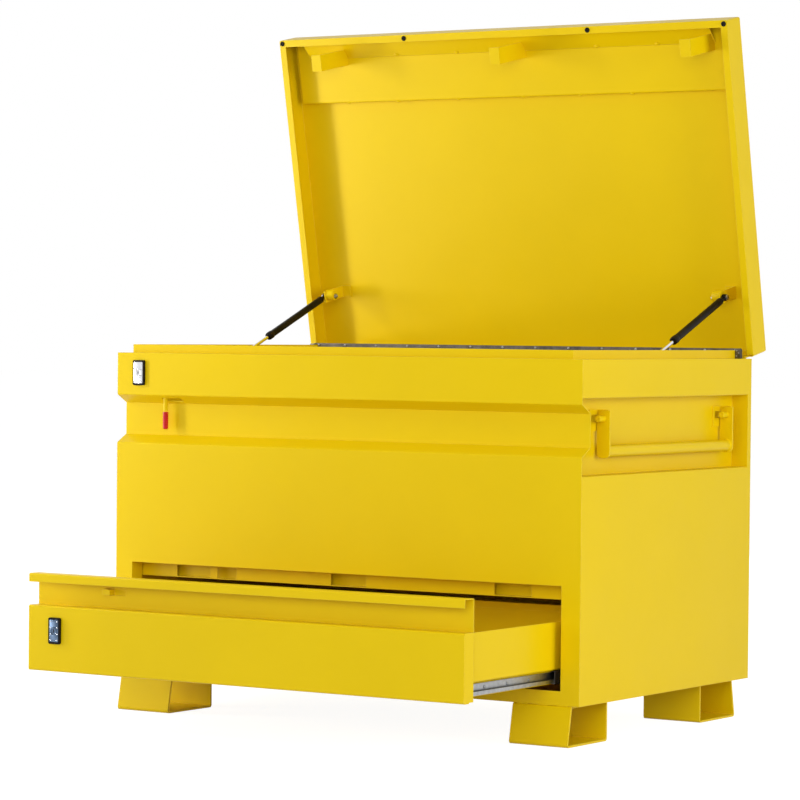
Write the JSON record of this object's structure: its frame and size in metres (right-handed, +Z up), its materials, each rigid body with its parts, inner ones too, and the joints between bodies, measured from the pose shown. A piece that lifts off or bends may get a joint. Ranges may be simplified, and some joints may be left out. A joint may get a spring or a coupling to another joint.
{
  "type": "jobsite storage box",
  "caption": "Steel jobsite storage chest on skid feet with a gas-strut lid, a full-width lower drawer on slides, sliding latch bars, key locks and fold-out lifting handles.",
  "frame": {"origin": "on the floor, at the centre of the four floor-bolt holes in the feet", "axes": "+X to the right seen from the front, +Y to the rear, +Z up; the lid is open and the drawer is part way out"},
  "size_m": [1.2192, 1.2168, 1.5765],
  "materials": {
    "yellow_paint": "semi-gloss safety-yellow powder coat",
    "zinc_steel": "bright zinc-plated steel, satin",
    "black_steel": "black enamel, semi-gloss",
    "chrome": "polished chrome",
    "rubber": "matt black rubber",
    "red_vinyl": "dipped red vinyl, slight sheen"
  },
  "bodies": {
    "cabinet": {"base_panel": "yellow_paint", "compartment_floor": "yellow_paint", "drawer_keeper_rail": "yellow_paint", "front_left_foot": "yellow_paint", "front_panel": "yellow_paint", "front_right_foot": "yellow_paint", "hinge_fixed_leaf": "yellow_paint", "hinge_pin": "zinc_steel", "latch_guides": "yellow_paint", "left_handle_brackets": "yellow_paint", "left_handle_pins": "yellow_paint", "left_side_panel": "yellow_paint", "left_slide_outer": "zinc_steel", "left_slide_rail": "yellow_paint", "lid_lock_case": "black_steel", "lid_lock_plate": "chrome", "rear_left_foot": "yellow_paint", "rear_lip_strip": "zinc_steel", "rear_panel": "yellow_paint", "rear_right_foot": "yellow_paint", "right_handle_brackets": "yellow_paint", "right_handle_pins": "yellow_paint", "right_side_panel": "yellow_paint", "right_slide_outer": "zinc_steel", "right_slide_rail": "yellow_paint", "strut_body_brackets": "yellow_paint", "top_frame": "yellow_paint"},
    "lid": {"lid_shell": "yellow_paint", "lid_stiffener": "yellow_paint", "lid_front_box": "yellow_paint", "lid_strikers": "yellow_paint", "lid_bumpers": "rubber", "hinge_moving_leaf": "yellow_paint", "strut_lid_brackets": "yellow_paint", "strut_bolts": "zinc_steel"},
    "left_strut_tube": {"left_strut_cylinder": "black_steel"},
    "left_strut_piston": {"left_strut_rod": "chrome"},
    "right_strut_tube": {"right_strut_cylinder": "black_steel"},
    "right_strut_piston": {"right_strut_rod": "chrome"},
    "drawer": {"drawer_front": "yellow_paint", "drawer_tray": "yellow_paint", "drawer_lock_case": "black_steel", "drawer_lock_plate": "chrome", "drawer_latch_guides": "yellow_paint", "left_slide_inner": "zinc_steel", "right_slide_inner": "zinc_steel"},
    "drawer_latch": {"drawer_latch_bar": "yellow_paint"},
    "lid_latch": {"lid_latch_bar": "yellow_paint", "latch_lever": "yellow_paint", "lever_grip": "red_vinyl"},
    "lid_lock_core": {"lid_lock_plug": "chrome"},
    "drawer_lock_core": {"drawer_lock_plug": "chrome"},
    "left_handle": {"left_handle_arms": "yellow_paint", "left_handle_tube": "yellow_paint"},
    "right_handle": {"right_handle_arms": "yellow_paint", "right_handle_tube": "yellow_paint"}
  },
  "joints": [
    {"name": "lid_hinge", "type": "hinge", "parent": "cabinet", "child": "lid", "pos_m": [0, 0.4085, 0.807], "axis": [1, 0, 0], "range_deg": [0, 78.7], "stiffness_Nm_per_rad": 30, "springref_deg": -63.03},
    {"name": "left_strut_pivot", "type": "hinge", "parent": "lid", "child": "left_strut_tube", "pos_m": [-0.548, 0.3847, 0.94807], "axis": [1, 0, 0], "range_deg": [-92.3, 0]},
    {"name": "left_strut_stroke", "type": "slide", "parent": "left_strut_tube", "child": "left_strut_piston", "axis": [0, 0.9241, 0.382], "range_m": [0, 0.1535]},
    {"name": "right_strut_pivot", "type": "hinge", "parent": "lid", "child": "right_strut_tube", "pos_m": [0.548, 0.3847, 0.94807], "axis": [1, 0, 0], "range_deg": [-92.3, 0]},
    {"name": "right_strut_stroke", "type": "slide", "parent": "right_strut_tube", "child": "right_strut_piston", "axis": [0, 0.9241, 0.382], "range_m": [0, 0.1535]},
    {"name": "drawer_slide", "type": "slide", "parent": "cabinet", "child": "drawer", "axis": [0, 1, 0], "range_m": [-0.04, 0.372]},
    {"name": "drawer_latch_slide", "type": "slide", "parent": "drawer", "child": "drawer_latch", "axis": [1, 0, 0], "range_m": [0, 0.03]},
    {"name": "lid_latch_slide", "type": "slide", "parent": "cabinet", "child": "lid_latch", "axis": [1, 0, 0], "range_m": [0, 0.04]},
    {"name": "lid_lock_turn", "type": "hinge", "parent": "cabinet", "child": "lid_lock_core", "pos_m": [-0.547, -0.3595, 0.765], "axis": [0, 1, 0], "range_deg": [0, 90]},
    {"name": "drawer_lock_turn", "type": "hinge", "parent": "drawer", "child": "drawer_lock_core", "pos_m": [-0.485, -0.7315, 0.209], "axis": [0, 1, 0], "range_deg": [0, 90]},
    {"name": "left_handle_swing", "type": "hinge", "parent": "cabinet", "child": "left_handle", "pos_m": [-0.5902, 0.0435, 0.6845], "axis": [0, 1, 0], "range_deg": [0, 90]},
    {"name": "right_handle_swing", "type": "hinge", "parent": "cabinet", "child": "right_handle", "pos_m": [0.5902, 0.0435, 0.6845], "axis": [0, -1, 0], "range_deg": [0, 90]}
  ],
  "couplings": [
    {"joint": "left_strut_pivot", "follows": "lid_hinge", "ratio": -1.1711},
    {"joint": "right_strut_pivot", "follows": "lid_hinge", "ratio": -1.1711},
    {"joint": "left_strut_stroke", "follows": "lid_hinge", "m_per_rad": 0.11129},
    {"joint": "right_strut_stroke", "follows": "lid_hinge", "m_per_rad": 0.11129}
  ]
}
